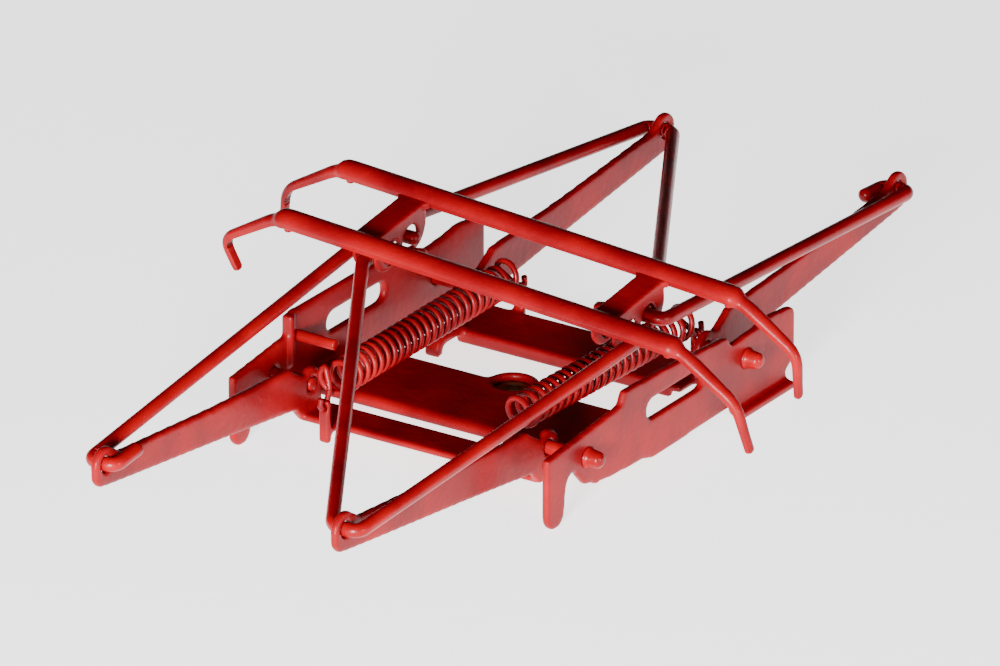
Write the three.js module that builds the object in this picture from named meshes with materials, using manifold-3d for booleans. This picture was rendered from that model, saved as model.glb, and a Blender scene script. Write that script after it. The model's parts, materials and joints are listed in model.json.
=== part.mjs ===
// A model-railway diamond current collector (a double-arm roof pantograph) in
// scale 1:87, folded down. Millimetres, +Z up, +X across the track, +Y along it.
// The origin is under the mounting bush, on the plane the feet stand on.
//
// The mechanism turns on six lines parallel to X: two pivots in the base, two
// elbows, and two ear lines under the contact shoe. The front half (-Y) and the
// back half (+Y) are the same parts turned half a turn about Z.

import * as THREE from "three";
import { mergeVertices } from "three/addons/utils/BufferGeometryUtils.js";
import Module from "manifold-3d";

const wasm = await Module();
wasm.setup();

// ---- driving dimensions ------------------------------------------------------

const FACETS = 20; // facets on a small round
const FIT = 0.03; // radial clearance of a turning fit
const SHEET = 0.3; // thickness of the plates and the arm blades
const WIRE = 0.25; // radius of the upper arm wires

const PIVOT = { y: 5.0, z: 1.95, shank: 0.24, head: 0.33, crown: 7.15 };
const ELBOW = { y: 17.3, z: 3.52, eye: 0.62, hole: 0.3 };
const BLADE_X = 4.82; // middle plane of each lower arm blade
const PLATE_X = 6.38; // middle plane of each side plate

// The web that joins two blades, its spring tabs and the back frame's tail
const WEB = { z: 0.9, t: 0.27, outerFront: 5.6, outerBack: 5.9, innerFront: 4.12, innerBack: 3.42, lip: 0.5 };
const TAB = { half: 0.22, y: 6.05, low: 0.45, top: 2.05, holeZ: 1.78, hole: 0.12 };
const TAIL = { x: 4.42, half: 0.3, t: 0.36, tip: 2.1, z: 1.04, curl: 0.4 };

// The strap across the base and the boss that takes the fixing screw
const STRAP = { front: -3.45, back: 0.3, top: 1.2, t: 0.27, lip: 0.78 };
const BOSS = { y: 0.3, r: 0.95, top: 1.23, hole: 0.66, bore: 0.42, bush: 0.85 };
const FOOT = { from: 4.2, to: 7.55, out: 0.38, bend: 0.15 };
const SLOT = { from: -1.3, to: 2.3, z: 2.25, half: 0.37, leftShift: -0.45 };
const RAISED_LEFT = { front: -4.05, up: 0.42, lip: 0.45, lipLow: 1.9 };
const STOP = { y: -3.6, z: 2.9, r: 0.2, reach: 1.6 };

// Springs: each from its front hook to its back hook
const SPRINGS = {
  left: { front: -3.45, back: -3.45, z: 2.55, coilFront: -5.4, coilBack: 5.3 },
  right: { front: 3.2, back: 3.8, z: 2.55, coilFront: -4.4, coilBack: 5.3 },
};
const COIL = { r: 0.62, wire: 0.08 };

// Contact shoe, drawn level about its own middle and then leaned
const SHOE = { z: 6.1, bar: 1.93, half: 8.1, pitch: 6.9, roll: 4.0 };
const BAR = { half: 0.32, top: -0.1, t: 0.27 };
const STRIP = { half: 0.46, rise: 0.36, end: 8.1 };
const HORN = { x: 10.4, left: { drop: 1.72, tip: 1.1 }, right: { drop: 1.62, tip: 1.7 } };
const LEAN = { front_left: -0.6, front_right: 0.6, back_left: 0.1, back_right: 0.1 };
const CROSS = { x: 4.85, half: 0.5, flare: 0.72, side: 0.15, low: -1.7, wide: 1.6 };
const EAR = { y: 0.6, z: -1.08, r: 0.46 };
const RIVET = { x: 7.7, r: 0.16, long: 0.2 };

// Where the upper arm wires run
const RUN = { elbow: 5.42, inside: 4.39, top: 5.83 };
const TUCK = { x: 4.9, enter: 1.6, end: 0.92 }; // the diagonal legs end between the ears
const STUB = { fold: 1.5, poke: 1.05, tilt: 27 };

const ENAMEL = { color: 0xb81a1c, roughness: 0.35, metalness: 0.0 };
const BRASS = { color: 0x8a6a40, roughness: 0.45, metalness: 0.9 };
const STEEL = { color: 0xa81c1e, roughness: 0.4, metalness: 0.2 };

// ---- helpers -------------------------------------------------------------------

const v2 = (x, y) => new THREE.Vector2(x, y);
const v3 = (x, y, z) => new THREE.Vector3(x, y, z);

// A geometry as a manifold solid, with its doubled corners merged.
function solid(geometry) {
  const g = geometry.index ? geometry.toNonIndexed() : geometry.clone();
  g.deleteAttribute("normal");
  g.deleteAttribute("uv");
  const merged = mergeVertices(g, 1e-5);
  const mesh = new wasm.Mesh({
    numProp: 3,
    vertProperties: new Float32Array(merged.attributes.position.array),
    triVerts: new Uint32Array(merged.index.array),
  });
  mesh.merge();
  return new wasm.Manifold(mesh);
}

// A manifold solid back as a three.js geometry.
function geometryOf(manifold) {
  const mesh = manifold.getMesh();
  const g = new THREE.BufferGeometry();
  g.setAttribute("position", new THREE.BufferAttribute(new Float32Array(mesh.vertProperties), 3));
  g.setIndex(new THREE.BufferAttribute(new Uint32Array(mesh.triVerts), 1));
  g.computeVertexNormals();
  return g;
}

// A flat outline drawn in (y, z), given thickness along X about the plane x.
function plateYZ(outline, x, thickness, holes = []) {
  const shape = new THREE.Shape(outline);
  for (const hole of holes) shape.holes.push(new THREE.Path(hole));
  const g = new THREE.ExtrudeGeometry(shape, { depth: thickness, bevelEnabled: false });
  g.applyMatrix4(new THREE.Matrix4().makeBasis(v3(0, 1, 0), v3(0, 0, 1), v3(1, 0, 0)));
  g.translate(x - thickness / 2, 0, 0);
  return g;
}

// A round bar along X between two x positions.
function barX(x0, x1, y, z, r, segments = FACETS) {
  const g = new THREE.CylinderGeometry(r, r, Math.abs(x1 - x0), segments);
  g.rotateZ(Math.PI / 2);
  g.translate((x0 + x1) / 2, y, z);
  return g;
}

// A round bar along Z.
function barZ(x, y, z0, z1, r, segments = FACETS) {
  const g = new THREE.CylinderGeometry(r, r, z1 - z0, segments);
  g.rotateX(Math.PI / 2);
  g.translate(x, y, (z0 + z1) / 2);
  return g;
}

// A box between two corners.
function block(x0, x1, y0, y1, z0, z1) {
  const g = new THREE.BoxGeometry(x1 - x0, y1 - y0, z1 - z0);
  g.translate((x0 + x1) / 2, (y0 + y1) / 2, (z0 + z1) / 2);
  return g;
}

// Points on an arc, in degrees.
function arc(cx, cy, r, from, to, steps) {
  const points = [];
  for (let i = 0; i <= steps; i += 1) {
    const a = THREE.MathUtils.degToRad(from + ((to - from) * i) / steps);
    points.push(v2(cx + r * Math.cos(a), cy + r * Math.sin(a)));
  }
  return points;
}

// A polyline with each inner corner swapped for a short curve.
function bentPath(points, radius) {
  const path = new THREE.CurvePath();
  let last = points[0];
  for (let i = 1; i < points.length - 1; i += 1) {
    const here = points[i];
    const back = here.clone().sub(points[i - 1]);
    const on = points[i + 1].clone().sub(here);
    const cut = Math.min(radius, back.length() * 0.45, on.length() * 0.45);
    const a = here.clone().sub(back.setLength(cut));
    const b = here.clone().add(on.setLength(cut));
    path.add(new THREE.LineCurve3(last, a));
    path.add(new THREE.QuadraticBezierCurve3(a, here, b));
    last = b;
  }
  path.add(new THREE.LineCurve3(last, points[points.length - 1]));
  return path;
}

// Points along a bent path: the ends of each straight and a few in each bend.
function sampled(path, perBend = 5) {
  const points = [path.curves[0].getPoint(0)];
  for (const curve of path.curves) {
    const n = curve.isLineCurve3 ? 1 : perBend;
    for (let i = 1; i <= n; i += 1) points.push(curve.getPoint(i / n));
  }
  return points;
}

// A wire of round section carried along points, closed at both ends.
function wire(points, radius, sides = 10) {
  const rings = [];
  let normal = null;
  points.forEach((p, i) => {
    const before = points[Math.max(i - 1, 0)];
    const after = points[Math.min(i + 1, points.length - 1)];
    const along = after.clone().sub(before).normalize();
    if (normal === null) normal = v3(0, 0, 1).cross(along).normalize();
    normal.addScaledVector(along, -normal.dot(along)).normalize();
    const side = along.clone().cross(normal);
    const ring = [];
    for (let k = 0; k < sides; k += 1) {
      const a = (k / sides) * Math.PI * 2;
      ring.push(p.clone().addScaledVector(normal, radius * Math.cos(a)).addScaledVector(side, radius * Math.sin(a)));
    }
    rings.push(ring);
  });
  const positions = [];
  const index = [];
  for (const ring of rings) for (const p of ring) positions.push(p.x, p.y, p.z);
  const first = positions.length / 3;
  positions.push(...points[0].toArray(), ...points[points.length - 1].toArray());
  for (let r = 0; r < rings.length - 1; r += 1) {
    for (let k = 0; k < sides; k += 1) {
      const k1 = (k + 1) % sides;
      const a = r * sides + k;
      const b = r * sides + k1;
      index.push(a, b, a + sides, b, b + sides, a + sides);
    }
  }
  const end = (rings.length - 1) * sides;
  for (let k = 0; k < sides; k += 1) {
    const k1 = (k + 1) % sides;
    index.push(first, k1, k);
    index.push(first + 1, end + k, end + k1);
  }
  const g = new THREE.BufferGeometry();
  g.setAttribute("position", new THREE.Float32BufferAttribute(positions, 3));
  g.setIndex(index);
  g.computeVertexNormals();
  return g;
}

// A closed outline round a line drawn in (y, z), to stand for bent sheet.
function ribbon(line, thickness) {
  const left = [];
  const right = [];
  line.forEach((p, i) => {
    const before = line[Math.max(i - 1, 0)];
    const after = line[Math.min(i + 1, line.length - 1)];
    const along = after.clone().sub(before).normalize();
    const across = v2(-along.y, along.x).multiplyScalar(thickness / 2);
    left.push(p.clone().add(across));
    right.push(p.clone().sub(across));
  });
  return [...left, ...right.reverse()];
}

const group = new THREE.Group();

function addMesh(parent, name, geometry, finish) {
  const mesh = new THREE.Mesh(geometry, new THREE.MeshStandardMaterial(finish));
  mesh.name = name;
  parent.add(mesh);
  return mesh;
}

// ---- base frame ----------------------------------------------------------------

// One side plate: a long low plate with a peg in front and a foot behind, a
// raised middle with a slot, and an arch cut out behind the peg.
function plateOutline(rise, stepY) {
  return [
    v2(-7.45, 2.67),
    ...arc(-6.92, 0.53, 0.53, 180, 360, 8),
    v2(-6.3, 1.3),
    ...arc(-5.9, 1.35, 0.34, 160, 20, 6),
    v2(-5.1, 0.95),
    ...arc(-4.35, 1.15, 0.42, 215, 290, 5),
    v2(-3.5, 0.66),
    v2(-1.47, 0.56),
    v2(-0.84, 0.38),
    v2(2.0, 0.45),
    v2(4.2, 0.5),
    v2(7.55, 0.55),
    v2(8.1, 0.9),
    ...arc(7.75, 2.5 + rise, 0.35, 0, 90, 4),
    v2(6.54, 2.97 + rise),
    v2(5.5, 2.82 + rise),
    v2(4.06, 2.76 + rise),
    v2(3.8, 3.15 + rise),
    v2(1.9, 3.28 + rise),
    v2(0.27, 3.4 + rise),
    v2(stepY + 0.23, 3.51 + rise * 0.8),
    v2(stepY, 3.06),
  ];
}
function slotOutline(rise, shift) {
  return [
    ...arc(SLOT.to - SLOT.half + shift, SLOT.z + rise, SLOT.half, -90, 90, 8),
    ...arc(SLOT.from + SLOT.half + shift, SLOT.z + rise, SLOT.half, 90, 270, 8),
  ];
}
const strapOutline = [
  v2(STRAP.back, STRAP.top),
  ...arc(STRAP.front + 0.27, STRAP.top - 0.27, 0.27, 90, 180, 5),
  v2(STRAP.front, STRAP.lip),
  v2(STRAP.front + STRAP.t, STRAP.lip),
  v2(STRAP.front + STRAP.t, STRAP.top - STRAP.t),
  v2(STRAP.back, STRAP.top - STRAP.t),
];

// The back foot in (x, z): the plate's lower edge turned outward.
function foot(side) {
  const inner = PLATE_X - SHEET / 2;
  const outer = PLATE_X + SHEET / 2;
  const outline = [
    v2(inner, 0.7),
    ...arc(outer, SHEET, SHEET, 180, 270, 5),
    v2(outer + FOOT.out, 0),
    v2(outer + FOOT.out, SHEET),
    ...arc(outer + FOOT.bend, SHEET + FOOT.bend, FOOT.bend, 270, 180, 4),
    v2(outer, 0.7),
  ];
  const g = new THREE.ExtrudeGeometry(new THREE.Shape(outline), { depth: FOOT.to - FOOT.from, bevelEnabled: false });
  g.rotateX(Math.PI / 2);
  g.translate(0, FOOT.to, 0);
  const part = solid(g);
  return side > 0 ? part : part.mirror([1, 0, 0]);
}

let base = solid(plateYZ(strapOutline, 0, 2 * PLATE_X - 0.1));
base = base.add(solid(barZ(0, BOSS.y, STRAP.top - STRAP.t, BOSS.top, BOSS.r, 32)));
for (const side of [-1, 1]) {
  const rise = side < 0 ? RAISED_LEFT.up : 0;
  const outline = plateOutline(rise, side < 0 ? RAISED_LEFT.front : -2.9);
  const slot = slotOutline(side < 0 ? rise - 0.06 : 0, side < 0 ? SLOT.leftShift : 0);
  base = base.add(solid(plateYZ(outline, side * PLATE_X, SHEET, [slot])));
  base = base.add(foot(side));
}
base = base.subtract(solid(barZ(0, BOSS.y, 0, 3, BOSS.hole, 32)));
const lipOut = -(PLATE_X + SHEET / 2);
const lipTop = 3.45 + RAISED_LEFT.up * 0.8;
const lipFront = RAISED_LEFT.front - 0.12;
base = base.add(solid(block(lipOut, lipOut + RAISED_LEFT.lip, lipFront, lipFront + SHEET, RAISED_LEFT.lipLow, lipTop)));
for (const side of [-1, 1]) {
  for (const end of [-1, 1]) {
    base = base.subtract(solid(barX(side * 6, side * 7, end * PIVOT.y, PIVOT.z, PIVOT.shank + 0.01)));
  }
}
addMesh(group, "base_frame", geometryOf(base), ENAMEL);

// The turned bush under the strap; the fixing screw goes down through it.
const bushProfile = [
  v2(BOSS.bore, 0),
  v2(BOSS.bush, 0),
  v2(BOSS.bush, STRAP.top - STRAP.t),
  v2(BOSS.bore, STRAP.top - STRAP.t),
  v2(BOSS.bore, 0),
];
const bush = new THREE.LatheGeometry(bushProfile, 32);
bush.rotateX(Math.PI / 2);
bush.translate(0, BOSS.y, 0);
addMesh(group, "mounting_bush", geometryOf(solid(bush)), BRASS);

// A headed pivot pin: domed head outside the plate, plain shank to the blade.
function pivotPin(side, end) {
  const inner = BLADE_X - SHEET / 2 - 0.05;
  const face = PLATE_X + SHEET / 2;
  const profile = [v2(0, inner), v2(PIVOT.shank, inner), v2(PIVOT.shank, face), v2(PIVOT.head, face)];
  profile.push(v2(PIVOT.head, face + 0.15), v2(0.2, PIVOT.crown - 0.06), v2(0.12, PIVOT.crown), v2(0, PIVOT.crown));
  const g = new THREE.LatheGeometry(profile, FACETS);
  g.rotateZ(-Math.PI / 2);
  if (side < 0) g.rotateZ(Math.PI);
  g.translate(0, end * PIVOT.y, PIVOT.z);
  return geometryOf(solid(g));
}
for (const [endName, end] of [["front", -1], ["back", 1]]) {
  for (const [sideName, side] of [["left", -1], ["right", 1]]) {
    addMesh(group, `pivot_pin_${endName}_${sideName}`, pivotPin(side, end), STEEL);
  }
}
const stopFrom = -(PLATE_X - SHEET / 2);
addMesh(group, "stop_pin_left", barX(stopFrom, stopFrom + STOP.reach, STOP.y, STOP.z, STOP.r, 16), STEEL);

// ---- lower frames ----------------------------------------------------------------

// One blade in (y, z), drawn for the back (+Y) half.
const bladeOutline = [
  v2(6.3, 2.95),
  v2(6.15, 2.82),
  v2(5.55, 2.45),
  ...arc(PIVOT.y, PIVOT.z, 0.62, 50, 180, 8),
  v2(4.38, WEB.z - WEB.t / 2),
  v2(5.5, WEB.z - WEB.t / 2),
  v2(6.0, 1.3),
  v2(10.2, 1.85),
  v2(16.0, 2.55),
  v2(17.1, 2.69),
  ...arc(ELBOW.y + 0.05, 3.26, 0.56, -60, 15, 5),
  ...arc(ELBOW.y, ELBOW.z, ELBOW.eye, 0, 135, 9),
  v2(16.4, 3.68),
  v2(10.8, 3.2),
];

// Both blades, the web and the spring tabs, drawn for the back half.
function lowerFrame(tabXs, inner, outer) {
  const low = WEB.z - WEB.t / 2;
  let frame = solid(block(-BLADE_X, BLADE_X, inner, outer, low, low + WEB.t));
  for (const side of [-1, 1]) {
    const blade = solid(plateYZ(bladeOutline, side * BLADE_X, SHEET));
    const eyeHole = solid(barX(side * 4, side * 6, ELBOW.y, ELBOW.z, ELBOW.hole));
    const pinHole = solid(barX(side * 4, side * 6, PIVOT.y, PIVOT.z, PIVOT.shank + FIT));
    frame = frame.add(blade.subtract(eyeHole).subtract(pinHole));
  }
  for (const x of tabXs) {
    const tab = block(x - TAB.half, x + TAB.half, TAB.y - WEB.t / 2, TAB.y + WEB.t / 2, TAB.low, TAB.top);
    const root = block(x - TAB.half, x + TAB.half, outer - 0.1, TAB.y, low, low + WEB.t);
    const hookHole = new THREE.CylinderGeometry(TAB.hole, TAB.hole, 1, 12);
    hookHole.translate(x, TAB.y, TAB.holeZ);
    frame = frame.add(solid(tab)).add(solid(root)).subtract(solid(hookHole));
  }
  return frame;
}

// The back web's inner edge is folded down, and a tail runs inboard from its left
// end and droops at its tip.
function backTrim() {
  const lip = block(-4.4, 4.4, WEB.innerBack, WEB.innerBack + WEB.t, WEB.lip, WEB.z);
  const line = [
    v2(WEB.innerBack + 0.3, WEB.z + 0.01),
    v2(WEB.innerBack - 0.1, TAIL.z),
    ...arc(TAIL.tip + TAIL.curl, TAIL.z - TAIL.curl, TAIL.curl, 90, 200, 6),
  ];
  return solid(plateYZ(ribbon(line, TAIL.t), -TAIL.x, 2 * TAIL.half)).add(solid(lip));
}
const backTabs = [SPRINGS.left.back, SPRINGS.right.back];
const backFrame = lowerFrame(backTabs, WEB.innerBack, WEB.outerBack).add(backTrim());
const frontTabs = [-SPRINGS.left.front, -SPRINGS.right.front];
const frontFrame = lowerFrame(frontTabs, WEB.innerFront, WEB.outerFront).rotate([0, 0, 180]);
addMesh(group, "lower_frame_back", geometryOf(backFrame), ENAMEL);
addMesh(group, "lower_frame_front", geometryOf(frontFrame), ENAMEL);

// ---- springs ---------------------------------------------------------------------

// A closed-coil spring as a plain rod along Y, with a hook wire down to each tab.
function spring(ends) {
  const at = (y, z) => v3(ends.front + ((ends.back - ends.front) * (y + TAB.y)) / (2 * TAB.y), y, z);
  let part = solid(wire([at(ends.coilFront, ends.z), at(ends.coilBack, ends.z)], COIL.r, 16));
  for (const [end, coilEnd] of [[-1, ends.coilFront], [1, ends.coilBack]]) {
    const hook = [at(coilEnd - end * 0.2, ends.z), at(end * TAB.y, TAB.holeZ), at(end * (TAB.y + 0.3), TAB.holeZ)];
    part = part.add(solid(wire(hook, COIL.wire, 8)));
  }
  return geometryOf(part);
}
addMesh(group, "spring_left", spring(SPRINGS.left), ENAMEL);
addMesh(group, "spring_right", spring(SPRINGS.right), ENAMEL);

// ---- contact shoe ------------------------------------------------------------------

const shoe = new THREE.Group();
shoe.position.set(0, 0, SHOE.z);
shoe.rotation.set(THREE.MathUtils.degToRad(SHOE.pitch), THREE.MathUtils.degToRad(SHOE.roll), 0);
shoe.updateMatrixWorld();

// A flat strap along X that turns down into a horn at each end, as one ribbon in
// (x, z) with a width along Y that leans at the tips.
function hornStrap(end) {
  const y = end * SHOE.bar;
  const midZ = BAR.top - BAR.t / 2;
  const rings = [];
  for (const side of [-1, 1]) {
    const name = `${end < 0 ? "front" : "back"}_${side < 0 ? "left" : "right"}`;
    const horn = side < 0 ? HORN.left : HORN.right;
    const bar = [v3(0, 0, midZ), v3(SHOE.half, 0, midZ)];
    const tip = v3(HORN.x + LEAN[name], 0, -horn.drop - horn.tip);
    const points = sampled(bentPath([...bar, v3(HORN.x, 0, -horn.drop), tip], 0.7), 4).slice(1);
    const ordered = points.map((p) => v3(side * p.x, y, p.z));
    if (side < 0) rings.push(...ordered.reverse());
    else rings.push(...ordered);
  }
  const line = rings.map((p) => v2(p.x, p.z));
  const g = new THREE.ExtrudeGeometry(new THREE.Shape(ribbon(line, BAR.t)), { depth: 2 * BAR.half, bevelEnabled: false });
  g.rotateX(Math.PI / 2);
  g.translate(0, y + BAR.half, 0);
  return geometryOf(solid(g));
}

// A half-round contact strip on top of a strap, thinned at its two ends.
function contactStrip(end) {
  const outline = [...arc(0, 0, 1, 0, 180, 10)].map((p) => v2(p.x * STRIP.half, p.y * STRIP.rise));
  const g = new THREE.ExtrudeGeometry(new THREE.Shape(outline), { depth: 2 * STRIP.end, bevelEnabled: false });
  g.applyMatrix4(new THREE.Matrix4().makeBasis(v3(0, 1, 0), v3(0, 0, 1), v3(1, 0, 0)));
  g.translate(-STRIP.end, end * SHOE.bar, BAR.top);
  return geometryOf(solid(g));
}

// An inverted channel between the straps whose two sides hang down as ears.
function crosspiece(side) {
  const edge = SHOE.bar - BAR.half;
  const top = [
    v2(-CROSS.flare, -edge),
    v2(CROSS.flare, -edge),
    v2(CROSS.half, -edge + 0.3),
    v2(CROSS.half, edge - 0.3),
    v2(CROSS.flare, edge),
    v2(-CROSS.flare, edge),
    v2(-CROSS.half, edge - 0.3),
    v2(-CROSS.half, -edge + 0.3),
  ];
  const sheet = new THREE.ExtrudeGeometry(new THREE.Shape(top), { depth: BAR.t, bevelEnabled: false });
  sheet.translate(0, 0, BAR.top - BAR.t);
  const flange = [
    v2(-CROSS.wide, BAR.top - 0.05),
    ...arc(-CROSS.wide + 0.85, CROSS.low + 0.85, 0.85, 180, 270, 5),
    ...arc(CROSS.wide - 0.85, CROSS.low + 0.85, 0.85, 270, 360, 5),
    v2(CROSS.wide, BAR.top - 0.05),
  ];
  const holes = [-1, 1].map((end) => arc(end * EAR.y, EAR.z, EAR.r, 0, 360, 16).slice(0, -1));
  let part = solid(sheet);
  for (const wall of [-1, 1]) {
    const x = wall * (CROSS.half - CROSS.side / 2);
    part = part.add(solid(plateYZ(flange, x, CROSS.side, holes)));
  }
  return geometryOf(part.translate([side * CROSS.x, 0, 0]));
}

for (const [endName, end] of [["front", -1], ["back", 1]]) {
  addMesh(shoe, `horn_strap_${endName}`, hornStrap(end), ENAMEL);
  addMesh(shoe, `contact_strip_${endName}`, contactStrip(end), ENAMEL);
  for (const [sideName, side] of [["left", -1], ["right", 1]]) {
    const under = BAR.top - BAR.t;
    const rivet = barZ(side * RIVET.x, end * SHOE.bar, under - RIVET.long, under, RIVET.r, 12);
    addMesh(shoe, `strip_rivet_${endName}_${sideName}`, rivet, ENAMEL);
  }
}
addMesh(shoe, "crosspiece_left", crosspiece(-1), ENAMEL);
addMesh(shoe, "crosspiece_right", crosspiece(1), ENAMEL);
group.add(shoe);

// ---- upper arm wires -----------------------------------------------------------------

// A point of an ear's hole in world coordinates.
const ear = (x, y) => v3(x, y, EAR.z).applyMatrix4(shoe.matrixWorld);

// The single wire of the front (end -1, left side) or back (end 1, right side) half.
function singleWire(end) {
  const hole = ear(end * CROSS.x, end * EAR.y);
  const elbowY = end * ELBOW.y;
  const outX = end * RUN.elbow;
  const inX = end * RUN.inside;
  const far = end * (CROSS.x - CROSS.half - 0.12);
  const swing = THREE.MathUtils.degToRad(STUB.tilt);
  const rise = (hole.z - ELBOW.z) / (ELBOW.y - Math.abs(hole.y));
  const points = [
    v3(inX, elbowY - end * STUB.fold, ELBOW.z + STUB.fold * rise),
    v3(inX, elbowY, ELBOW.z),
    v3(outX, elbowY, ELBOW.z),
    v3(end * RUN.top, hole.y, hole.z),
    v3(far, hole.y, hole.z),
    v3(far - end * STUB.poke * Math.cos(swing), hole.y - end * STUB.poke * Math.sin(swing), hole.z),
  ];
  return wire(sampled(bentPath(points, 0.42), 5), WIRE, 12);
}

// The V wire: a straight leg outside its blade and a diagonal leg to the far ear.
function veeWire(end) {
  const side = -end;
  const straight = ear(side * CROSS.x, end * EAR.y);
  const enter = ear(-side * TUCK.x, end * TUCK.enter);
  const tucked = ear(-side * TUCK.x, end * TUCK.end);
  const elbowY = end * ELBOW.y;
  const points = [
    v3(side * (CROSS.x - CROSS.half - 0.25), straight.y, straight.z),
    v3(side * RUN.top, straight.y, straight.z),
    v3(side * RUN.elbow, elbowY, ELBOW.z),
    v3(side * RUN.inside, elbowY, ELBOW.z),
    enter,
    tucked,
  ];
  return wire(sampled(bentPath(points, 0.42), 5), WIRE, 12);
}
addMesh(group, "upper_wire_front_single", singleWire(-1), ENAMEL);
addMesh(group, "upper_wire_front_vee", veeWire(-1), ENAMEL);
addMesh(group, "upper_wire_back_vee", veeWire(1), ENAMEL);
addMesh(group, "upper_wire_back_single", singleWire(1), ENAMEL);

export default group;
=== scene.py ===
# %% [markdown]
# # A model railway roof pantograph, folded down
#
# A pantograph carries current from the overhead wire to a locomotive. This one
# is the small stamped and painted kind that stands on a model's roof. Two lower
# frames turn in a base, four thin wires reach from their elbows to a contact
# shoe, and two coil springs are hooked between the lower frames.
#
# Each cell below makes one kind of piece over those solids and says how it is
# made.

# %% Load the frame
import json
import math

import bmesh
import bpy
import numpy as np
from mathutils import Matrix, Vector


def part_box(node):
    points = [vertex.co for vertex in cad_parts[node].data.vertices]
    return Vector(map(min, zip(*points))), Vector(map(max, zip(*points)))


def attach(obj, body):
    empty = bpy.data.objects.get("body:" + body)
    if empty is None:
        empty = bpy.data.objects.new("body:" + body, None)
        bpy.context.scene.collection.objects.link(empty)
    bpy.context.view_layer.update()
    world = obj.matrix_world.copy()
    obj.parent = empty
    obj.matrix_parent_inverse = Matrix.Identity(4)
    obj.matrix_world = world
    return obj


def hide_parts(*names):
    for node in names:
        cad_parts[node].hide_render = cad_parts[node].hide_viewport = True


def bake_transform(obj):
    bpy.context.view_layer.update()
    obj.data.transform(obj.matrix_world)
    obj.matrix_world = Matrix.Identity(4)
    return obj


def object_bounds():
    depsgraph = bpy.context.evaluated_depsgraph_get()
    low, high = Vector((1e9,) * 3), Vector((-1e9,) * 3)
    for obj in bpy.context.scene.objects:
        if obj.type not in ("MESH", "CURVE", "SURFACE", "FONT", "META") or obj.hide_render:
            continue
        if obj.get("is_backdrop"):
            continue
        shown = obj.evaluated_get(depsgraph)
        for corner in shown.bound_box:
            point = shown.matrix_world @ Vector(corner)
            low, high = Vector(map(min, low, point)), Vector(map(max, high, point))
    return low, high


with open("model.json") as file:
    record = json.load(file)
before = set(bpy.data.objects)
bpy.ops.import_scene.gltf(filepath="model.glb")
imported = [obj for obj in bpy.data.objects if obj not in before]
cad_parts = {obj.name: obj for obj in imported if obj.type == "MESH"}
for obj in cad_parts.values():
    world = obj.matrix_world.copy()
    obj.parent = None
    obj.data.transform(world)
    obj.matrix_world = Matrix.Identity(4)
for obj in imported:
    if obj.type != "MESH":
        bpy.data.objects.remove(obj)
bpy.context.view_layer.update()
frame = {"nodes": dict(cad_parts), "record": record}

# %% [markdown]
# ## Working in millimetres
#
# Blender works in metres, and this object is 22 mm wide, so every number would
# start with zeros. All shapes are therefore worked out in millimetres and
# multiplied by MM once, when the mesh is made.

# %% Read the sizes the frame gives
MM = 0.001


def box_mm(node):
    """Lowest and highest corner of a solid, in millimetres."""
    low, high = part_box(node)
    return np.array(low) / MM, np.array(high) / MM


JOINT = {j["name"]: np.array(j["pos_m"]) / MM for j in frame["record"]["behaviour"]["joints"]}
blade_out = box_mm("lower_frame_front")[1][0]
SHEET = 0.3  # thickness of the stamped sheet
WIRE = 0.25  # radius of the arm wire
CLEAR = 0.03  # gap left between a wire and a blade
for name, place in JOINT.items():
    print(name, np.round(place, 2))

# %% [markdown]
# ## Camera
#
# A small thing seen from far away through a long lens keeps its parallel edges
# nearly parallel. The camera stands on a sphere about an aim point, placed by
# azimuth, elevation and distance, because those three are easy to read and change.

# %% Place the camera
AZIMUTH, ELEVATION, DISTANCE = 33.3, 23.5, 536.6
AIM = np.array([-0.85, 0.82, 2.65])


def camera_axes(azimuth, elevation):
    """Right, up and back unit vectors of a level camera.

    Back points from the aim to the camera: sine and minus cosine of the azimuth,
    shortened by the cosine of the elevation, and the sine of the elevation up.
    """
    a, e = math.radians(azimuth), math.radians(elevation)
    back = np.array([math.cos(e) * math.sin(a), -math.cos(e) * math.cos(a), math.sin(e)])
    right = np.array([math.cos(a), math.sin(a), 0.0])
    return right, np.cross(back, right), back


right, up, back = camera_axes(AZIMUTH, ELEVATION)
camera = bpy.data.objects.new("camera", bpy.data.cameras.new("camera"))
bpy.context.scene.collection.objects.link(camera)
camera.data.sensor_width = 36.0
camera.data.lens = 564.0
camera.data.clip_start = 0.01
camera.data.clip_end = 10.0

axes = np.eye(4)
axes[:3, 0], axes[:3, 1], axes[:3, 2] = right, up, back
axes[:3, 3] = (AIM + back * DISTANCE) * MM
camera.matrix_world = Matrix(axes.tolist())
bpy.context.scene.camera = camera
print("camera at", np.round(axes[:3, 3] / MM, 1), "mm")

# %% [markdown]
# ## Putting arrays into meshes
#
# Every new surface is a grid: one parameter runs along the piece and the other
# round it. The points come from numpy formulas as one array, so the only thing
# left to do is to say which four points make each face. A closed tube also
# needs its two ends shut, which one point at each pole does.

# %% Mesh helpers
def mesh_object(name, points, faces):
    """Make an object from points in millimetres and a list of faces."""
    mesh = bpy.data.meshes.new(name)
    mesh.from_pydata((points * MM).tolist(), [], faces)
    mesh.polygons.foreach_set("use_smooth", np.ones(len(mesh.polygons), bool))
    mesh.update()
    piece = bpy.data.objects.new(name, mesh)
    bpy.context.scene.collection.objects.link(piece)
    return piece


def grid_faces(rows, columns):
    """Quads of a grid that closes on itself across its columns."""
    r, c = np.meshgrid(np.arange(rows - 1), np.arange(columns), indexing="ij")
    n = (c + 1) % columns
    here, above = r * columns, (r + 1) * columns
    quads = np.stack([here + c, here + n, above + n, above + c], -1)
    return quads.reshape(-1, 4)


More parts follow.
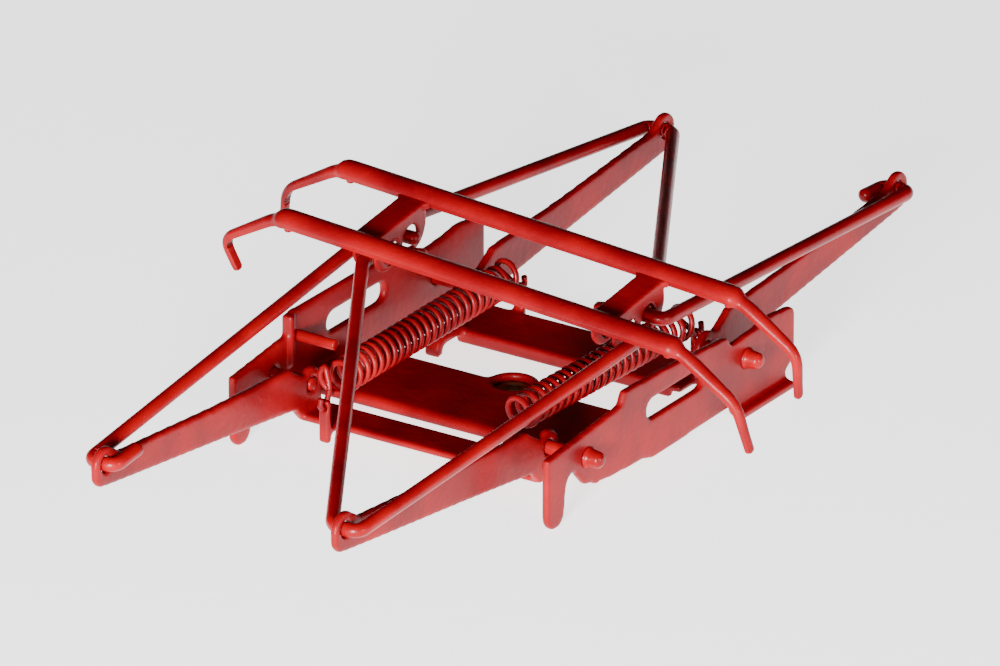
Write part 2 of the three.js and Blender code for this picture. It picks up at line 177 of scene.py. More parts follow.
def closed_tube(name, rings):
    """A tube from rings of points, shut at each end by a fan to the ring's centre."""
    rows, columns = rings.shape[:2]
    points = np.concatenate([rings.reshape(-1, 3), rings[:1].mean(1), rings[-1:].mean(1)])
    quads = grid_faces(rows, columns).tolist()
    c = np.arange(columns)
    n = (c + 1) % columns
    first, last = rows * columns, rows * columns + 1
    start = np.stack([n, c, np.full(columns, first)], -1).tolist()
    end_row = (rows - 1) * columns
    end = np.stack([end_row + c, end_row + n, np.full(columns, last)], -1).tolist()
    piece = mesh_object(name, points, quads + start + end)
    face_outward(piece)
    return piece


def face_outward(piece):
    """Turn all faces over if the mesh's signed volume is negative."""
    mesh = piece.data
    mesh.calc_loop_triangles()
    points = np.zeros(len(mesh.vertices) * 3)
    mesh.vertices.foreach_get("co", points)
    corners = np.zeros(len(mesh.loop_triangles) * 3, int)
    mesh.loop_triangles.foreach_get("vertices", corners)
    a, b, c = points.reshape(-1, 3)[corners.reshape(-1, 3)].transpose(1, 0, 2)
    if np.einsum("ij,ij->", a, np.cross(b, c)) < 0:
        mesh.flip_normals()


# %% [markdown]
# ## Paths with rounded corners
#
# Wire is bent over a round bar, so no corner is sharp. A path is given by its
# corner points. Each corner is swapped for a short parabola that starts and
# ends the same distance away from it, which is what a bend looks like at this size.

# %% Path helpers
BEND_POINTS = 9
BEND_SHARE = 0.45  # most of a straight run that one bend may take up
END_SOFT = 0.6  # length of a rounded end, in wire radii


def bent_path(corners, cut, step=0.12):
    """Points along straight runs joined by parabolas.

    On a bend the point is (1-t)^2 times its start, plus 2t(1-t) times the corner,
    plus t^2 times its end, for t from 0 to 1.
    """
    corners = np.asarray(corners, float)
    stretches = [corners[:1]]
    for before, here, after in zip(corners[:-2], corners[1:-1], corners[2:]):
        gap_in, gap_out = np.linalg.norm(here - before), np.linalg.norm(after - here)
        reach = min(cut, BEND_SHARE * gap_in, BEND_SHARE * gap_out)
        enter = here + (before - here) / gap_in * reach
        leave = here + (after - here) / gap_out * reach
        t = np.linspace(0, 1, BEND_POINTS)[:, None]
        stretches.append((1 - t) ** 2 * enter + 2 * t * (1 - t) * here + t**2 * leave)
    stretches.append(corners[-1:])
    rough = np.concatenate(stretches)
    along = np.r_[0, np.cumsum(np.linalg.norm(np.diff(rough, axis=0), axis=1))]
    count = max(12, int(along[-1] / step))
    even = np.unique(np.r_[np.linspace(0, along[-1], count), along])
    return np.stack([np.interp(even, along, rough[:, i]) for i in range(3)], -1)


def round_ends(path, radius):
    """Ring radii of a wire whose cut ends are rounded by their paint.

    The radius times the square root of 1 minus 0.75 s^2. Here s rises from 0 to 1
    over the last 0.6 of a radius, so each end is half as wide as the wire.
    """
    along = np.r_[0, np.cumsum(np.linalg.norm(np.diff(path, axis=0), axis=1))]
    near = np.minimum(along, along[-1] - along)
    soft = END_SOFT * radius
    inside = np.clip(1 - near / soft, 0, 1)
    return radius * np.sqrt(np.clip(1 - 0.75 * inside**2, 0, 1))


def frames_along(path, toward=(0, 0, 1)):
    """Side and upright unit vectors at each point, square to the path.

    Side is the path's direction crossed with a fixed vector, so the rings never twist.
    """
    along = np.gradient(path, axis=0)
    along /= np.linalg.norm(along, axis=1, keepdims=True)
    side = np.cross(along, np.asarray(toward, float))
    side /= np.linalg.norm(side, axis=1, keepdims=True)
    return side, np.cross(side, along)


def wire_along(name, corners, radius, cut=0.42, around=20):
    """A round wire: centre plus radius times (cosine of side, sine of upright)."""
    path = bent_path(corners, cut)
    side, upright = frames_along(path)
    r = round_ends(path, radius)[:, None, None]
    angle = np.linspace(0, 2 * np.pi, around, endpoint=False)[None, :, None]
    rings = path[:, None] + r * (np.cos(angle) * side[:, None] + np.sin(angle) * upright[:, None])
    return closed_tube(name, rings)


# %% [markdown]
# ## Colour and node helpers
#
# Colours are written as the hex values a painter would mix and turned into the linear numbers that light is
# reckoned in. One function adds a node, sets its values and links its inputs, so a material reads as a short
# list.

# %% Material helpers
def linear(hex_colour):
    """sRGB hex to linear RGBA: c/12.92 below 0.04045, else ((c+0.055)/1.055)^2.4."""
    c = np.array([int(hex_colour[i : i + 2], 16) for i in (1, 3, 5)]) / 255
    rgb = np.where(c <= 0.04045, c / 12.92, ((c + 0.055) / 1.055) ** 2.4)
    return (*rgb.tolist(), 1.0)


def add_node(tree, kind, settings=None, values=None, links=None):
    """Add a node, set its properties and socket values, and link its inputs."""
    node = tree.nodes.new(kind)
    for key, value in (settings or {}).items():
        setattr(node, key, value)
    for key, value in (values or {}).items():
        node.inputs[key].default_value = value
    for key, source in (links or {}).items():
        tree.links.new(source, node.inputs[key])
    return node


def new_material(name):
    """An empty material with its output node."""
    material = bpy.data.materials.new(name)
    material.use_nodes = True
    tree = material.node_tree
    tree.nodes.clear()
    return material, tree, tree.nodes.new("ShaderNodeOutputMaterial")


def object_mm(tree):
    """The object's own coordinates in millimetres, for textures sized in millimetres."""
    place = add_node(tree, "ShaderNodeTexCoord").outputs["Object"]
    scale = {"Scale": (1 / MM, 1 / MM, 1 / MM)}
    return add_node(tree, "ShaderNodeMapping", values=scale, links={"Vector": place}).outputs["Vector"]


def colour_ramp(tree, source, stops):
    """Spread a grey pattern over colours at given places."""
    ramp = add_node(tree, "ShaderNodeValToRGB", links={"Fac": source})
    ends = ramp.color_ramp.elements
    ends[0].position, ends[0].color = stops[0][0], linear(stops[0][1])
    ends[1].position, ends[1].color = stops[-1][0], linear(stops[-1][1])
    for place, colour in stops[1:-1]:
        ends.new(place).color = linear(colour)
    return ramp


# %% [markdown]
# ## Red enamel
#
# The whole collector was dipped or sprayed in a solvent enamel after it was put
# together. The paint is thick against 0.3 mm sheet: it rounds the edges, gathers
# in corners, and dries with a slight orange peel and a few nibs of dust. The
# colour is a deep signal red, darker where it is thick. The shader is a plain
# gloss layer over red, with three noises: broad flow marks about 2 mm apart,
# peel at 0.3 mm and nibs at 0.6 mm.

# %% Red enamel
def enamel(name, deep, mid, bright, roughness, peel):
    """Solvent enamel over metal; peel is the height of its orange peel in mm."""
    material, tree, out = new_material(name)
    mm = {"Vector": object_mm(tree)}
    flow = add_node(tree, "ShaderNodeTexNoise", values={"Scale": 0.45, "Detail": 2.0}, links=mm)
    orange = add_node(tree, "ShaderNodeTexNoise", values={"Scale": 3.2, "Detail": 2.0}, links=mm)
    nibs = add_node(tree, "ShaderNodeTexVoronoi", values={"Scale": 1.6}, links=mm)
    nib = add_node(
        tree,
        "ShaderNodeMapRange",
        values={"From Min": 0.0, "From Max": 0.16, "To Min": 1.0, "To Max": 0.0},
        links={"Value": nibs.outputs["Distance"]},
    )
    colour = colour_ramp(tree, flow.outputs["Fac"], [(0.3, deep), (0.5, mid), (0.72, bright)])
    spread = {"From Min": 0.3, "From Max": 0.7, "To Min": roughness - 0.03, "To Max": roughness + 0.04}
    gloss = add_node(tree, "ShaderNodeMapRange", values=spread, links={"Value": flow.outputs["Fac"]})
    skin = add_node(
        tree,
        "ShaderNodeBump",
        values={"Strength": 1.0, "Distance": peel * MM},
        links={"Height": orange.outputs["Fac"]},
    )
    skin = add_node(
        tree,
        "ShaderNodeBump",
        values={"Strength": 0.8, "Distance": 0.5 * peel * MM},
        links={"Height": nib.outputs["Result"], "Normal": skin.outputs["Normal"]},
    )
    gloss_layer = {"IOR": 1.46, "Specular IOR Level": 0.16, "Coat Weight": 0.08, "Coat Roughness": 0.16}
    shader = add_node(
        tree,
        "ShaderNodeBsdfPrincipled",
        values={**gloss_layer, "Metallic": 0.0},
        links={
            "Base Color": colour.outputs["Color"],
            "Roughness": gloss.outputs["Result"],
            "Normal": skin.outputs["Normal"],
        },
    )
    tree.links.new(shader.outputs["BSDF"], out.inputs["Surface"])
    return material


SHEET_ENAMEL = enamel("sprayed_red_enamel_on_steel", "#660007", "#7c0009", "#90010b", 0.42, 0.016)
WIRE_ENAMEL = enamel("dipped_red_enamel_on_wire", "#6c0007", "#840009", "#98020b", 0.34, 0.008)
COIL_ENAMEL = enamel("thin_red_enamel_on_spring_wire", "#600007", "#760109", "#8c030b", 0.4, 0.005)
print("three enamels")

# %% [markdown]
# ## Turned brass
#
# The bush is cut on a lathe from brass bar, so it carries fine rings round its
# axis. Only its bore is seen through the hole, brown with handling and a film of
# oil. Rings 0.08 mm apart come from a wave texture along the axis.

# %% Turned brass
def turned_brass():
    """Brass with tool rings along Z and a brown oil film."""
    material, tree, out = new_material("turned_brass_oiled")
    mm = {"Vector": object_mm(tree)}
    film = add_node(tree, "ShaderNodeTexNoise", values={"Scale": 2.0, "Detail": 4.0}, links=mm)
    waves = {"Scale": 4.0, "Distortion": 0.4}
    rings = add_node(tree, "ShaderNodeTexWave", {"bands_direction": "Z"}, waves, mm)
    colour = colour_ramp(tree, film.outputs["Fac"], [(0.3, "#6e4d34"), (0.7, "#a5805c")])
    depth = {"Strength": 0.5, "Distance": 0.006 * MM}
    cut = add_node(tree, "ShaderNodeBump", values=depth, links={"Height": rings.outputs["Fac"]})
    shader = add_node(tree, "ShaderNodeBsdfPrincipled", values={"Metallic": 0.85, "Roughness": 0.42},
                      links={"Base Color": colour.outputs["Color"], "Normal": cut.outputs["Normal"]})
    tree.links.new(shader.outputs["BSDF"], out.inputs["Surface"])
    return material


BRASS = turned_brass()
print("turned brass")

# %% [markdown]
# ## Handing a piece over
#
# Each finished piece gets its paint and the solids that it stands for, and a piece with one body is attached
# to the body that it moves with.

# %% Finish a piece
def finish_piece(piece, body, material, slot, *nodes):
    """Give a piece its body, its paint, and the solids it stands for; slot is not used.

    A body is one name, to which the piece is attached, or two names and two points, for which the piece is
    only set in place and attached to neither.
    """
    piece.data.materials.clear()
    piece.data.materials.append(material)
    if isinstance(body, str):
        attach(piece, body)
    else:
        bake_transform(piece)
    if nodes:
        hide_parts(*nodes)
    print(f"{piece.name}: {len(piece.data.vertices)} points on {body}")
    return piece


# %% [markdown]
# ## Stamped and painted sheet
#
# The base, the lower frames and the crosspieces are bent sheet under thick paint.
# Their outlines are already right in the frame's solids, but those have knife
# edges. Bevels would have to be cut on every edge and would miss the fillets the
# paint makes where two sheets meet. So the shape is taken from a copy of the
# solid: a voxel remesh wraps it in an even net, a shrinkwrap lays the net back on
# the true faces, which takes out the voxels' steps, and the net is then relaxed.
# To relax is to move each point part of the way to the mean of its neighbours:
# flat faces stay, outer edges round off and inner corners fill.

# %% Wrap a solid in a skin of paint
def relax(points, edges, steps, share=0.5):
    """Each point plus a share of (mean of its neighbours minus the point), some times over."""
    count = np.bincount(edges.ravel(), minlength=len(points))
    for _ in range(steps):
        total = np.zeros_like(points)
        for axis in range(3):
            total[:, axis] = np.bincount(edges[:, 0], points[edges[:, 1], axis], len(points))
            total[:, axis] += np.bincount(edges[:, 1], points[edges[:, 0], axis], len(points))
        points = points + share * (total / count[:, None] - points)
    return points


def scaled_copy(name, node):
    """A copy of a solid in millimetres with its doubled corners merged."""
    work = frame["nodes"][node].data.copy()
    points = np.zeros(len(work.vertices) * 3)
    work.vertices.foreach_get("co", points)
    work.vertices.foreach_set("co", points / MM)
    net = bmesh.new()
    net.from_mesh(work)
    bmesh.ops.remove_doubles(net, verts=net.verts, dist=1e-4)
    net.to_mesh(work)
    net.free()
    helper = bpy.data.objects.new(name, work)
    bpy.context.scene.collection.objects.link(helper)
    return helper


def painted_skin(name, node, voxel, steps=9):
    """An even net round a solid, laid on its true faces, then relaxed to round its edges."""
    target = scaled_copy(name + "_target", node)
    helper = scaled_copy(name + "_work", node)
    wrap = helper.modifiers.new("wrap", "REMESH")
    wrap.mode, wrap.voxel_size, wrap.adaptivity = "VOXEL", voxel, 0.0
    press = helper.modifiers.new("press", "SHRINKWRAP")
    press.wrap_method, press.target = "NEAREST_SURFACEPOINT", target
    net = bpy.data.meshes.new_from_object(helper.evaluated_get(bpy.context.evaluated_depsgraph_get()))
    points = np.zeros(len(net.vertices) * 3)
    net.vertices.foreach_get("co", points)
    edges = np.zeros(len(net.edges) * 2, int)
    net.edges.foreach_get("vertices", edges)
    points = relax(points.reshape(-1, 3), edges.reshape(-1, 2), steps)
    net.vertices.foreach_set("co", (points * MM).ravel())
    net.polygons.foreach_set("use_smooth", np.ones(len(net.polygons), bool))
    net.update()
    piece = bpy.data.objects.new(name, net)
    bpy.context.scene.collection.objects.link(piece)
    bpy.data.objects.remove(helper)
    bpy.data.objects.remove(target)
    return piece


# piece, solid, body, and the size of the net's squares in millimetres
SKINS = [
    ("base_sheet", "base_frame", "base", 0.062),
    ("front_lower_arms", "lower_frame_front", "lower_front", 0.062),
    ("back_lower_arms", "lower_frame_back", "lower_back", 0.062),
    ("left_crosspiece", "crosspiece_left", "shoe", 0.045),
    ("right_crosspiece", "crosspiece_right", "shoe", 0.045),
]
for name, node, body, voxel in SKINS:
    finish_piece(painted_skin(name, node, voxel), body, SHEET_ENAMEL, "red_enamel", node)

# %% [markdown]
# ## Turned pins and the bush
#
# Pins and the bush are round about an axis, so each is a profile of distance
# along the axis and radius, spun round it. The profile's corners are rounded by
# the same parabola as the wire's bends, which turns the few falling radii of a
# rivet head into a dome.

# %% Spin a profile
def spun(name, profile, centre, axis, cut=0.08, around=36):
    """A surface of revolution: centre plus distance along the axis, plus radius
    times cosine and sine of the angle in the plane across it."""
    axis = np.asarray(axis, float)
    across = np.cross(axis, [0, 0, 1.0] if abs(axis[2]) < 0.9 else [1.0, 0, 0])
    third = np.cross(axis, across)
    flat = np.array([(d, r, 0) for d, r in profile], float)
    line = bent_path(flat, cut, step=0.2)
    angle = np.linspace(0, 2 * np.pi, around, endpoint=False)[None, :, None]
    ring = np.cos(angle) * across + np.sin(angle) * third
    rings = np.asarray(centre, float) + line[:, :1, None] * axis + line[:, 1:2, None] * ring
    return closed_tube(name, rings)


FOOT_OUT = 0.38  # how far the back feet stand out from the plates
POLE = 0.01  # radius that stands for zero where a profile meets its axis
SHANK = 0.24  # radius of a pivot pin's shank
DOME = 0.12  # height of a pin head's lower and upper steps
SUNK = 0.05  # how deep the stop pin is set in its plate
for end in ("front", "back"):
    for side in ("left", "right"):
        node = f"pivot_pin_{end}_{side}"
        low, high = box_mm(node)
        centre = (low + high) / 2
        way = -1 if side == "left" else 1
        tail, crown = min(abs(low[0]), abs(high[0])), max(abs(low[0]), abs(high[0]))
        face = box_mm("base_frame")[1][0] - FOOT_OUT
        head = (high[2] - low[2]) / 2
        shank = [(tail, POLE), (tail, SHANK), (face, SHANK)]
        skirt = [(face, 1.25 * head), (face + DOME, head)]
        dome = [(crown - DOME, 0.85 * head), (crown, 0.4 * head), (crown, POLE)]
        profile = shank + skirt + dome
        pin = spun(f"{end}_{side}_pivot_pin", profile, (0, centre[1], centre[2]), (way, 0, 0), cut=0.1)
        finish_piece(pin, "base", WIRE_ENAMEL, "pin_steel", node)

low, high = box_mm("stop_pin_left")
radius = (high[2] - low[2]) / 2
long = high[0] - low[0]
profile = [(-SUNK, POLE), (-SUNK, radius), (long, radius), (long, POLE)]
pin = spun("left_stop_pin", profile, (low[0], *(low + high)[1:] / 2), (1, 0, 0), cut=0.09)
finish_piece(pin, "base", WIRE_ENAMEL, "pin_steel", "stop_pin_left")

# %% [markdown]
# ## The bush
#
# The bush has a bore, so its profile never meets the axis. It is a closed loop
# with small chamfers, and the spun surface closes on itself both ways.

# %% Spin the bush
def spun_ring(name, profile, centre, around=64):
    """Spin a closed profile of (height, radius) about Z, so the ring has no poles."""
    line = np.asarray(profile, float)
    angle = np.linspace(0, 2 * np.pi, around, endpoint=False)[:, None]
    x, y = line[:, 1] * np.cos(angle), line[:, 1] * np.sin(angle)
    points = np.stack([x, y, np.broadcast_to(line[:, 0], x.shape)], -1) + np.asarray(centre)
    rows, columns = points.shape[:2]
    quads = grid_faces(rows, columns)
    closing = grid_faces(2, columns)
    closing = np.where(closing >= columns, closing - columns, closing + (rows - 1) * columns)
    piece = mesh_object(name, points.reshape(-1, 3), np.concatenate([quads, closing]).tolist())
    face_outward(piece)
    return piece


low, high = box_mm("mounting_bush")
outer = (high[0] - low[0]) / 2
inner, rim = 0.42, 0.04  # radius of the bore, and the chamfer
top = high[2] - low[2]
profile = [(0, inner + rim), (0, outer - rim), (rim, outer), (top - rim, outer), (top, outer - rim),
           (top, inner + rim), (top - rim, inner), (rim, inner)]
bush = spun_ring("boss_bush", profile, (0, (low[1] + high[1]) / 2, low[2]))
finish_piece(bush, "base", BRASS, "bush_brass", "mounting_bush")

# %% [markdown]
# ## The shoe's lean
#
# The shoe hangs loose on thin wires, so it rests a few degrees out of level both
# ways. Its lean is read from the frame: front to back from the two contact
# strips' heights, side to side from the two crosspieces'.

# %% Find the shoe's own axes
def middle(node):
    """Middle of a solid's box in millimetres."""
    low, high = box_mm(node)
    return (low + high) / 2


over = middle("contact_strip_back") - middle("contact_strip_front")
pitch = math.atan2(over[2], over[1])
across = middle("crosspiece_right") - middle("crosspiece_left")
roll = math.asin(-across[2] / np.linalg.norm(across) / math.cos(pitch))
tip_x = np.array([[1, 0, 0], [0, math.cos(pitch), -math.sin(pitch)], [0, math.sin(pitch), math.cos(pitch)]])
tip_y = np.array([[math.cos(roll), 0, math.sin(roll)], [0, 1, 0], [-math.sin(roll), 0, math.cos(roll)]])
LEAN = tip_x @ tip_y
BAR_Y = np.linalg.norm(over) / 2
STRAP_TOP = -0.1  # height of the straps' upper faces in shoe axes
STRAP_T, STRIP_RISE = 0.27, 0.36  # thickness of a strap, and height of a strip on it
CENTRE = (middle("contact_strip_back") + middle("contact_strip_front")) / 2
CENTRE = CENTRE - LEAN @ np.array([0, 0, STRAP_TOP + STRIP_RISE / 2])
print("pitch", round(math.degrees(pitch), 2), "roll", round(math.degrees(roll), 2))
print("centre", np.round(CENTRE, 3))


def on_shoe(points):
    """Shoe coordinates to the row frame: turn by the lean, then move to the centre."""
    return np.asarray(points, float) @ LEAN.T + CENTRE


# %% [markdown]
# ## Horn straps
#
# Each strap is a flat strip with its ends turned down into horns, which keep the
# overhead wire from catching under the shoe. A rounded rectangle is carried
# along the strap's path. The horns were bent by hand, so their tips lean
# differently.

# %% Horn straps
def rounded_section(half_wide, half_thick, corner, per_corner=5):
    """Points round a rectangle whose corners are quarter circles."""
    quarter = np.linspace(0, np.pi / 2, per_corner)
    sections = []
    for turn, (sx, sy) in enumerate(((1, 1), (-1, 1), (-1, -1), (1, -1))):
        a = quarter + turn * np.pi / 2
        middle_x, middle_y = sx * (half_wide - corner), sy * (half_thick - corner)
        sections.append(np.stack([middle_x + corner * np.cos(a), middle_y + corner * np.sin(a)], -1))
    return np.concatenate(sections)


HALF, HORN_X = 8.1, 10.4  # where the straight bar ends, and where the horn turns down
HORN_DROP = (1.72, 1.62)  # depth of that turn, left and right
HORN_TIP = (1.1, 1.7)  # depth of the tip below it, left and right
STRAP_HALF, STRAP_CORNER, STRAP_BEND = 0.33, 0.09, 0.5
TIP_ROUND = 0.16  # length of a tip's quarter circle
TIP_LEAN = {"front_left": -0.6, "front_right": 0.6, "back_left": 0.1, "back_right": 0.1}


def strap_path(end):
    """Left horn, straight run and right horn, as corner points in shoe axes."""
    mid_z = STRAP_TOP - STRAP_T / 2
    tips = [TIP_LEAN[f"{end}_left"], TIP_LEAN[f"{end}_right"]]
    xs = [-HORN_X - tips[0], -HORN_X, -HALF, HALF, HORN_X, HORN_X + tips[1]]
    low = [-drop - tip for drop, tip in zip(HORN_DROP, HORN_TIP)]
    zs = [low[0], -HORN_DROP[0], mid_z, mid_z, -HORN_DROP[1], low[1]]
    y = -BAR_Y if end == "front" else BAR_Y
    return [(x, y, z) for x, z in zip(xs, zs)]


def finer_tips(path):
    """The same path with extra points close to both ends, for the rounding there."""
    along = np.r_[0, np.cumsum(np.linalg.norm(np.diff(path, axis=0), axis=1))]
    extra = np.array([0.005, 0.02, 0.045, 0.08, 0.12, 0.16])
    spots = np.unique(np.round(np.r_[along, extra, along[-1] - extra], 6))
    return np.stack([np.interp(spots, along, path[:, k]) for k in range(3)], -1)


def tip_taper(path, neck=0.7, least=0.56, run=3.6):
    """Width along the path: full on the bar, stepping to the neck where the horn
    starts, falling evenly to the tip, and a quarter circle on the last 0.16 mm."""
    along = np.r_[0, np.cumsum(np.linalg.norm(np.diff(path, axis=0), axis=1))]
    near = np.minimum(along, along[-1] - along)
    horn = least + (neck - least) * np.clip(near / run, 0, 1)
    on_bar = 0.5 - 0.5 * np.cos(np.pi * np.clip((HALF + 0.15 - np.abs(path[:, 0])) / 0.4, 0, 1))
    last = np.clip(near / TIP_ROUND, 0, 1)
    return (horn + (1 - horn) * on_bar) * np.maximum(np.sqrt(1 - (1 - last) ** 2), 0.04)


def carried(name, path, section, widths, thicks):
    """A section carried along a path: its x times the width and its y times the thickness."""
    side, upright = frames_along(path, toward=(0, 1, 0))
    flat, tall = section[None, :, :1], section[None, :, 1:]
    wide = widths[:, None, None] * flat * upright[:, None]
    rings = path[:, None] + wide + thicks[:, None, None] * tall * side[:, None]
    return closed_tube(name, on_shoe(rings))


def strap(end):
    """A rounded rectangle carried along the strap's path, narrowed towards both tips."""
    path = finer_tips(bent_path(strap_path(end), STRAP_BEND))
    size = tip_taper(path)
    section = rounded_section(STRAP_HALF, STRAP_T / 2, STRAP_CORNER)
    return carried(f"{end}_horn_strap", path, section, size, np.sqrt(size))


for end in ("front", "back"):
    finish_piece(strap(end), "shoe", SHEET_ENAMEL, "red_enamel", f"horn_strap_{end}")

# %% [markdown]
# ## Contact strips
#
# A half-round strip lies on each strap and rubs on the overhead wire. Its section
# is half an ellipse over a flat base, and it runs down the horns with the strap,
# getting narrower, so that the two read as one painted bar with a ridge.

# %% Contact strips
BASE_POINTS = 7
RIVET_IN, RIVET_OUT, RIVET_R = -0.15, 0.12, 0.16  # start and end along its axis, and radius


def contact_strip(end, half_wide=0.46):
    """Half an ellipse over a flat base, carried along the strap's path: x is half the
    width times cosine and y is the rise times sine, both shrinking along the horns."""
    path = finer_tips(bent_path(strap_path(end), STRAP_BEND))
    size = tip_taper(path, neck=0.62, least=0.3)
    angle = np.linspace(0, np.pi, 17)
    base = np.linspace(-0.94, 0.94, BASE_POINTS)
    wide = np.r_[np.cos(angle), base] * half_wide
    dome = 0.8 * STRAP_T / 2 + np.sin(angle) * STRIP_RISE
    rise = np.r_[dome, np.full(BASE_POINTS, 0.7 * STRAP_T / 2)]
    outward = -1.0 if frames_along(path, toward=(0, 1, 0))[0][len(path) // 2][2] < 0 else 1.0
    section = np.stack([wide, outward * rise], -1)
    return carried(f"{end}_contact_strip", path, section, size, size)


for end in ("front", "back"):
    finish_piece(contact_strip(end), "shoe", SHEET_ENAMEL, "red_enamel", f"contact_strip_{end}")
    for side in ("left", "right"):
        node = f"strip_rivet_{end}_{side}"
        low, high = box_mm(node)
        spot = (low + high) / 2
        profile = [(RIVET_IN, POLE), (RIVET_IN, RIVET_R), (RIVET_OUT, RIVET_R), (RIVET_OUT, POLE)]
        down = LEAN @ np.array([0, 0, -1.0])
        rivet = spun(f"{end}_{side}_rivet", profile, spot, down, cut=0.07, around=20)
        finish_piece(rivet, "shoe", SHEET_ENAMEL, "red_enamel", node)

# %% [markdown]
# ## Upper arm wires
#
# Four lengths of 0.5 mm wire carry the shoe. At each end of the collector one
# wire is single and one is bent into a V whose second leg crosses to the far
# crosspiece, which keeps the shoe from swaying. Each wire is one path through an
# elbow eye and an ear, swept with a round section.

# %% Upper arm wires
EAR_X, EAR_Y, EAR_Z = 4.85, 0.6, -1.08  # middle of an ear's hole in shoe axes
CROSS_HALF = 0.5  # half a crosspiece's width
TUCK_X, TUCK_ENTER, TUCK_END = 4.9, 1.6, 0.92  # where a diagonal leg is tucked in
BLADE_GAP = 0.2  # the straight runs stand clear of the blades
SINGLE_PAST, VEE_PAST = 0.12, 0.25  # how far a wire passes a crosspiece's inner side
RUN_OUT = blade_out + WIRE + BLADE_GAP
RUN_IN = blade_out - SHEET - WIRE - CLEAR
RUN_TOP = -box_mm("upper_wire_front_single")[0][0] - WIRE
FOLD, POKE, TILT = 1.5, 1.05, math.radians(27)  # stub below, stub above and its slant


def single_wire(name, end):
    """Stub, eye, outer run, ear and tilted stub; end is -1 in front and 1 behind."""
    elbow = JOINT["front_elbow" if end < 0 else "back_elbow"]
    hole = on_shoe([end * EAR_X, end * EAR_Y, EAR_Z])
    rise = (hole[2] - elbow[2]) / (abs(elbow[1]) - abs(hole[1]))
    far = end * (EAR_X - CROSS_HALF - SINGLE_PAST)
    corners = [
        (end * RUN_IN, elbow[1] - end * FOLD, elbow[2] + FOLD * rise),
        (end * RUN_IN, elbow[1], elbow[2]),
        (end * RUN_OUT, elbow[1], elbow[2]),
        (end * RUN_TOP, hole[1], hole[2]),
        (far, hole[1], hole[2]),
        (far - end * POKE * math.cos(TILT), hole[1] - end * POKE * math.sin(TILT), hole[2]),
    ]
    return wire_along(name, corners, WIRE)


def vee_wire(name, end):
    """Straight leg outside its blade, eye, and diagonal leg tucked between the far ears."""
    elbow = JOINT["front_elbow" if end < 0 else "back_elbow"]
    side = -end
    straight = on_shoe([side * EAR_X, end * EAR_Y, EAR_Z])
    enter = on_shoe([-side * TUCK_X, end * TUCK_ENTER, EAR_Z])
    tucked = on_shoe([-side * TUCK_X, end * TUCK_END, EAR_Z])
    corners = [
        (side * (EAR_X - CROSS_HALF - VEE_PAST), straight[1], straight[2]),
        (side * RUN_TOP, straight[1], straight[2]),
        (side * RUN_OUT, elbow[1], elbow[2]),
        (side * RUN_IN, elbow[1], elbow[2]),
        enter,
        tucked,
    ]
    return wire_along(name, corners, WIRE)


for end, body, word in ((-1, "upper_front", "front"), (1, "upper_back", "back")):
    single, vee = single_wire(f"{word}_single_wire", end), vee_wire(f"{word}_vee_wire", end)
    finish_piece(single, body, WIRE_ENAMEL, "red_enamel", f"upper_wire_{word}_single")
    finish_piece(vee, body, WIRE_ENAMEL, "red_enamel", f"upper_wire_{word}_vee")

# %% [markdown]
# ## Springs
#
# Each spring is wound from 0.22 mm wire with 0.41 mm from turn to turn, and is hooked in a tab at each end.
# Its centre line is a helix round an axis along Y, leaning a little where its tabs are not in line. The tabs
# turn with the lower frames, so each spring is made in two halves, one hooked to each frame, and each half
# is set in place where it is made.

# %% Springs
COIL_R, COIL_WIRE, PITCH = 0.53, 0.11, 0.41  # radius of the coil, of its wire, and rise per turn
TAB_Y, TAB_Z = 6.05, 1.78  # the tabs' holes
STEPS_PER_TURN = 22
LOOSE_FROM = 0.8  # share of the helix after which its turns open out
HOOK_PAST, HOOK_UP = 0.3, 0.4
BEND_FROM, BEND_TO = 0.2, 5.9  # two distances from the middle given with each half, the second where it rides its frame


def half_spring(name, end, x_front, x_back, z, reach):
    """A helix from the middle to near the tab, then a hook down through it.

    The centre line is radius times (cosine, sine) of the turn about an axis along Y,
    and moves on by one pitch in each turn. The last turns open out with the square
    of the way through them, and a small sine of the turn makes them uneven.
    """
    turns = reach / PITCH
    t = np.linspace(0, 1, int(turns * STEPS_PER_TURN))
    loose = np.clip((t - LOOSE_FROM) / 0.2, 0, 1)
    y = end * (reach * t + 0.35 * loose**2)
    turn = end * 2 * np.pi * turns * t + np.pi / 2
    r = COIL_R + 0.05 * loose * np.sin(7 * turn / 5)
    body = np.stack([r * np.cos(turn), y, r * np.sin(turn)], -1)
    hole_z = TAB_Z - z
    hook = [
        body[-1],
        (0, y[-1] + end * 0.1, -0.2),
        (0, end * TAB_Y, hole_z),
        (0, end * (TAB_Y + HOOK_PAST), hole_z + 0.05),
        (0, end * (TAB_Y + 0.25), hole_z + HOOK_UP),
    ]
    line = np.concatenate([body, bent_path(hook, 0.15, step=0.06)[1:]])
    lean = x_front + (x_back - x_front) * (line[:, 1] / (2 * TAB_Y) + 0.5)
    line = line + np.stack([lean, 0 * lean, 0 * lean + z], -1)
    side, upright = frames_along(line, toward=(0.05, end * 1.0, 0.02))
    angle = np.linspace(0, 2 * np.pi, 8, endpoint=False)[None, :, None]
    across = np.cos(angle) * side[:, None] + np.sin(angle) * upright[:, None]
    rings = line[:, None] + COIL_WIRE * across
    return closed_tube(name, rings)


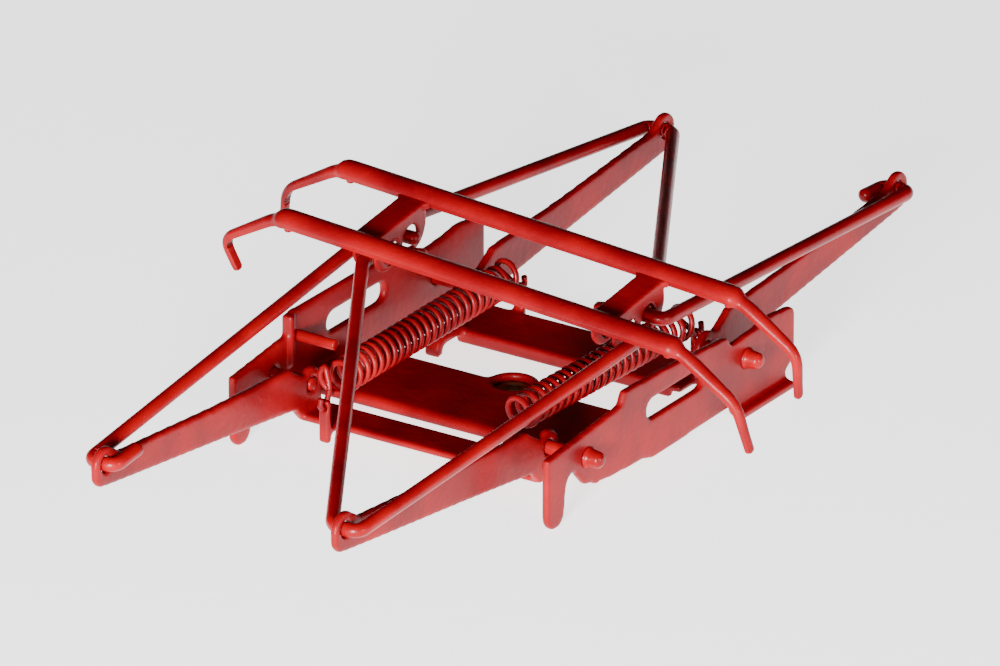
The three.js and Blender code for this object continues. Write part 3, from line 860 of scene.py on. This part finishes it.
# x in front, x behind, height, and reach of the front and back halves
SPRINGS = {"left": (-3.45, -3.45, 2.55, 5.3, 5.0), "right": (3.2, 3.8, 2.55, 4.2, 5.0)}
for side, (x_front, x_back, z, front_reach, back_reach) in SPRINGS.items():
    for end, word, reach in ((-1, "front", front_reach), (1, "back", back_reach)):
        piece = half_spring(f"{side}_spring_{word}_half", end, x_front, x_back, z, reach)
        middle_x = (x_front + x_back) / 2
        at = (middle_x * MM, end * BEND_FROM * MM, z * MM)
        tab = (middle_x * MM, end * BEND_TO * MM, z * MM)
        finish_piece(piece, ("base", f"lower_{word}", at, tab), COIL_ENAMEL, "spring_wire", f"spring_{side}")

# %% [markdown]
# ## Floor and light
#
# A matt, near-white floor that glows like a light table throws soft light up at
# the sides and leaves the tops darker. One soft lamp stands low in front, where
# the bright faces are, and a weaker one stands to the right.

# %% Floor, sky and lamps
def floor_paper():
    """Matt white paper lit from below, with a fine tooth."""
    material, tree, out = new_material("white_paper_sweep")
    place = add_node(tree, "ShaderNodeTexCoord").outputs["Object"]
    grain = {"Scale": 900.0, "Detail": 2.0}
    tooth = add_node(tree, "ShaderNodeTexNoise", values=grain, links={"Vector": place})
    colour = colour_ramp(tree, tooth.outputs["Fac"], [(0.3, "#f4f4f4"), (0.7, "#fafafa")])
    shader = add_node(tree, "ShaderNodeBsdfPrincipled",
                      values={"Roughness": 0.9, "Emission Color": (1, 1, 1, 1), "Emission Strength": 2.1},
                      links={"Base Color": colour.outputs["Color"]})
    tree.links.new(shader.outputs["BSDF"], out.inputs["Surface"])
    return material


FLOOR = 400.0  # half the floor's width
corners = np.array([(-1, -1, 0), (1, -1, 0), (1, 1, 0), (-1, 1, 0)], float) * FLOOR
floor = mesh_object("floor", corners, [(0, 1, 2, 3)])
floor.data.materials.append(floor_paper())
floor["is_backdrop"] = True

world = bpy.data.worlds.new("studio")
bpy.context.scene.world = world
world.use_nodes = True
world.node_tree.nodes["Background"].inputs["Color"].default_value = (1, 1, 1, 1)
world.node_tree.nodes["Background"].inputs["Strength"].default_value = 0.03


def soft_lamp(name, azimuth, elevation, distance, size, power):
    """A square soft lamp on a sphere about the object, facing it."""
    r, u, b = camera_axes(azimuth, elevation)
    lamp = bpy.data.lights.new(name, "AREA")
    lamp.size, lamp.energy = size * MM, power
    obj = bpy.data.objects.new(name, lamp)
    turned = np.eye(4)
    turned[:3, 0], turned[:3, 1], turned[:3, 2] = r, u, b
    turned[:3, 3] = (AIM + b * distance) * MM
    obj.matrix_world = Matrix(turned.tolist())
    bpy.context.scene.collection.objects.link(obj)
    print(name, "at", np.round(turned[:3, 3] / MM, 0), "mm")


soft_lamp("front_lamp", azimuth=18, elevation=8, distance=150, size=34, power=0.8)
soft_lamp("side_lamp", azimuth=80, elevation=8, distance=150, size=34, power=0.11)

# %% Print the visual box and finish
low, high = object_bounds()
print("visual box", np.round(np.array(low) / MM, 2), np.round(np.array(high) / MM, 2))
